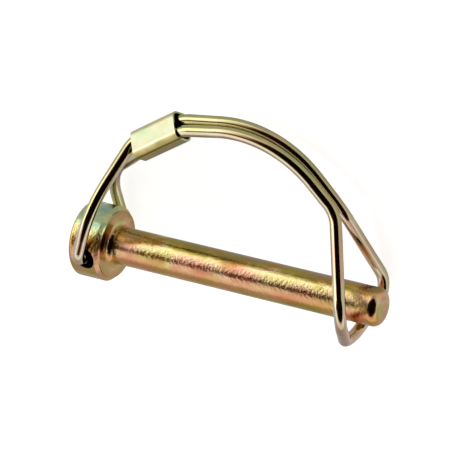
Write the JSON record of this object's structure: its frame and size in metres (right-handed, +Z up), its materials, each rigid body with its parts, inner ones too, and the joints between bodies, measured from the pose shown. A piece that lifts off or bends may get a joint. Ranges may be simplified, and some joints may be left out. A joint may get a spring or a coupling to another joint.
{
  "type": "lynch pin",
  "caption": "Round-wire lynch pin: a headed steel pin whose sprung wire bail hinges in the head, runs through a folded sheet sleeve and closes in a loop round the tip.",
  "frame": {"origin": "on the shank's axis where the plain shank begins, 1.5 mm from the head's seat", "axes": "+X along the shank towards its tip, +Z up from the surface that the part lies on"},
  "size_m": [0.0865, 0.051, 0.027],
  "materials": {
    "pin_steel": "satin, yellow zinc plated",
    "spring_wire": "bright, yellow zinc plated",
    "sleeve_sheet": "satin, yellow zinc plated"
  },
  "bodies": {
    "pin": {"pin": "pin_steel"},
    "bail": {"wire_bail": "spring_wire", "ferrule": "sleeve_sheet"}
  },
  "joints": [
    {"name": "bail_swing", "type": "hinge", "parent": "pin", "child": "bail", "pos_m": [-0.00665, -0.00184, 0.00048], "axis": [0, 0.2512, 0.9679], "range_deg": [-6, 260], "deforming": ["wire_bail"]}
  ]
}
